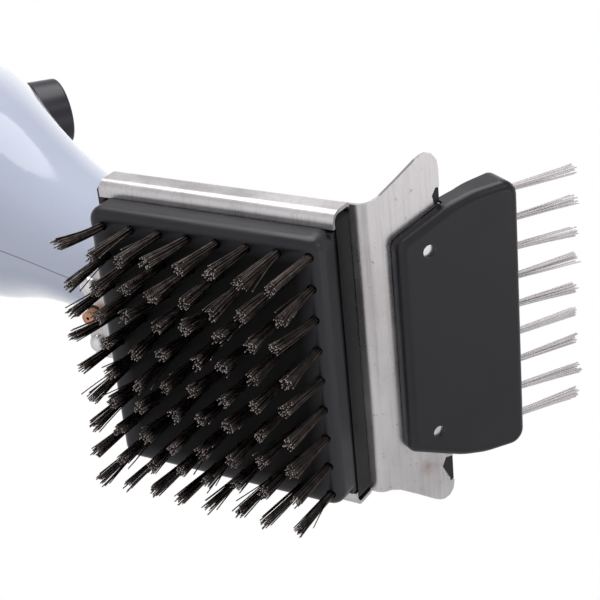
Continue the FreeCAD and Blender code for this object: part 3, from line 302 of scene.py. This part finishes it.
def bundle(verts, faces, marks, rng, root, axis, across, count, base_r, tip_r, length, wire_r, lean, stray=0.06, trim=0.7):
    """A tuft: wires fanned from a tight root, cut to nearly one length."""
    side = axis.cross(across).normalized()
    tilt = across * rng.gauss(0, lean) + side * rng.gauss(0, lean)
    squash = rng.uniform(0.75, 1.0)
    turn = rng.uniform(0, math.pi)
    golden = math.pi * (3 - math.sqrt(5))
    for i in range(count):
        rr = math.sqrt((i + 0.5) / count)
        th = i * golden + rng.uniform(-0.25, 0.25)
        bx, by = rr * math.cos(th), rr * math.sin(th)
        tx, ty = bx, by * squash
        tx, ty = tx * math.cos(turn) - ty * math.sin(turn), tx * math.sin(turn) + ty * math.cos(turn)
        bx, by = bx * math.cos(turn) - by * math.sin(turn), bx * math.sin(turn) + by * math.cos(turn)
        gx, gy = rng.gauss(0, 0.10), rng.gauss(0, 0.10)
        wild = rng.random() < stray
        if wild:
            gx += rng.uniform(-0.9, 0.9)
            gy += rng.uniform(-0.9, 0.9)
        end = length - rng.random() ** 1.5 * trim * (2.5 if wild else 1.0)
        bow = rng.uniform(0.7, 1.5)
        pts = []
        for t in (0.0, 0.3, 0.55, 0.8, 1.0):
            w = t ** bow
            ox = (bx * base_r * (1 - w) + (tx + gx) * tip_r * w)
            oy = (by * base_r * (1 - w) + (ty + gy) * tip_r * w)
            d = end * t
            pts.append(root + axis * d + across * ox + side * oy + tilt * (d * t ** 0.5))
        pts.insert(0, root - axis * 0.002 + across * (bx * base_r) + side * (by * base_r))
        tube(verts, faces, marks, pts, wire_r * rng.uniform(0.9, 1.1))


def wires(name, build, mats, body, node):
    verts, faces, marks = [], [], []
    build(verts, faces, marks)
    me = bpy.data.meshes.new(name)
    me.from_pydata([tuple(v) for v in verts], [], faces)
    for mt in mats:
        me.materials.append(mt)
    me.polygons.foreach_set("material_index", marks)
    me.polygons.foreach_set("use_smooth", [len(f) == 4 for f in faces])
    me.validate()
    me.update()
    o = bpy.data.objects.new(name, me)
    scene.collection.objects.link(o)
    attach(o, body)
    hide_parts(node)
    return o


def main_field(verts, faces, marks):
    rng = random.Random(41)
    for i in range(8):
        for j in range(9):
            root = OFF + Vector(((i - 3.5) * 11.0 * MM, (j - 4) * 10.5 * MM, 0))
            bundle(verts, faces, marks, rng, root, Vector((0, 0, -1)), Vector((1, 0, 0)), rng.randint(24, 31),
                   1.25 * MM, 2.25 * MM, 22.0 * MM, 0.20 * MM, 0.040, stray=0.10, trim=1.8 * MM)


def side_row(verts, faces, marks):
    rng = random.Random(7)
    for j in range(9):
        root = WING_O + E_S * (52.6 * MM) + E_Y * ((j - 4) * 10.5 * MM) + E_N * (3.5 * MM)
        bundle(verts, faces, marks, rng, root, E_S, E_Y, 15, 1.0 * MM, 1.9 * MM, 27.8 * MM, 0.27 * MM, 0.020, stray=0.10, trim=1.8 * MM)


main_wires = wires("main_wire_tufts", main_field, [M_WIRE, M_WIRE_END], "main_brush", "main_bristle_tufts")
side_wires = wires("side_wire_tufts", side_row, [M_BRIGHT, M_BRIGHT], "side_brush", "side_bristle_tufts")

# ---------------------------------------------------------------- stage and light
floor_me = bpy.data.meshes.new("floor")
F = 6.0
floor_me.from_pydata([(-F, -F, -0.9), (F, -F, -0.9), (F, F, -0.9), (-F, F, -0.9)], [], [(0, 1, 2, 3)])
floor = bpy.data.objects.new("floor", floor_me)
scene.collection.objects.link(floor)
kf = Mat("floor_paper")
kf.link(kf.ramp(kf.noise(3.0, 2.0), [(0.3, (0.86, 0.86, 0.87)), (0.7, (0.88, 0.88, 0.89))]), kf.b.inputs["Base Color"])
kf.set("Roughness", 0.8)
floor_me.materials.append(kf.m)

world = bpy.data.worlds.new("world")
scene.world = world
world.use_nodes = True
wt = world.node_tree
bg = wt.nodes["Background"]
bg.inputs["Color"].default_value = (1, 1, 1, 1)
bg.inputs["Strength"].default_value = 1.0
room = wt.nodes.new("ShaderNodeBackground")
way = wt.nodes.new("ShaderNodeTexCoord")
axes = wt.nodes.new("ShaderNodeSeparateXYZ")
wt.links.new(way.outputs["Generated"], axes.inputs[0])
half = wt.nodes.new("ShaderNodeMapRange")
half.inputs["From Min"].default_value = -1.0
half.inputs["From Max"].default_value = 1.0
wt.links.new(axes.outputs["Y"], half.inputs["Value"])
walls = wt.nodes.new("ShaderNodeValToRGB")
stops = [(0.0, 0.42), (0.30, 0.44), (0.52, 0.66), (0.66, 0.80), (0.79, 0.53), (1.0, 0.56)]
els = walls.color_ramp.elements
while len(els) < len(stops):
    els.new(0.5)
for e_, (at_, v_) in zip(els, stops):
    e_.position = at_
    e_.color = (v_, v_, v_, 1)
wt.links.new(half.outputs["Result"], walls.inputs["Fac"])


def patch(before, toward, edge, core, amount):
    """Add a soft bright patch of the room around one direction."""
    dot = wt.nodes.new("ShaderNodeVectorMath")
    dot.operation = "DOT_PRODUCT"
    wt.links.new(way.outputs["Generated"], dot.inputs[0])
    dot.inputs[1].default_value = Vector(toward).normalized()
    sweep = wt.nodes.new("ShaderNodeMapRange")
    sweep.interpolation_type = "SMOOTHSTEP"
    for k_, v_ in (("From Min", edge), ("From Max", core), ("To Min", 0.0), ("To Max", amount)):
        sweep.inputs[k_].default_value = v_
    wt.links.new(dot.outputs["Value"], sweep.inputs["Value"])
    total = wt.nodes.new("ShaderNodeMath")
    total.operation = "ADD"
    wt.links.new(before, total.inputs[0])
    wt.links.new(sweep.outputs["Result"], total.inputs[1])
    return total.outputs[0]


level = patch(walls.outputs["Color"], AHEAD, 0.62, 0.93, 0.75)
level = patch(level, (0.965, 0.22, 0.0), 0.957, 0.997, 1.02)
level = patch(level, (0.74, 0.42, -0.50), 0.93, 0.99, 0.75)
wt.links.new(level, room.inputs["Strength"])
seen = wt.nodes.new("ShaderNodeLightPath")
pick = wt.nodes.new("ShaderNodeMixShader")
wt.links.new(seen.outputs["Is Camera Ray"], pick.inputs["Fac"])
wt.links.new(room.outputs[0], pick.inputs[1])
wt.links.new(bg.outputs[0], pick.inputs[2])
wt.links.new(pick.outputs[0], next(n for n in wt.nodes if n.type == "OUTPUT_WORLD").inputs["Surface"])


def area(name, at, to, size, power, colour=(1, 1, 1), size_y=None, shape="RECTANGLE"):
    d = bpy.data.lights.new(name, "AREA")
    d.energy = power
    d.color = colour
    d.shape = shape
    d.size = size
    if size_y:
        d.size_y = size_y
    elif shape == "RECTANGLE":
        d.size_y = size
    o = bpy.data.objects.new(name, d)
    scene.collection.objects.link(o)
    o.location = at
    direction = Vector(to) - Vector(at)
    o.rotation_euler = direction.to_track_quat("-Z", "Y").to_euler()
    return o


area("key_soft", (-0.082, -0.970, 0.416), (0.0, -0.03, 0.09), 1.08, 8.0, shape="DISK")
area("side_soft", (0.95, -0.66, 0.25), (0.15, 0.0, 0.05), 0.40, 0.6)
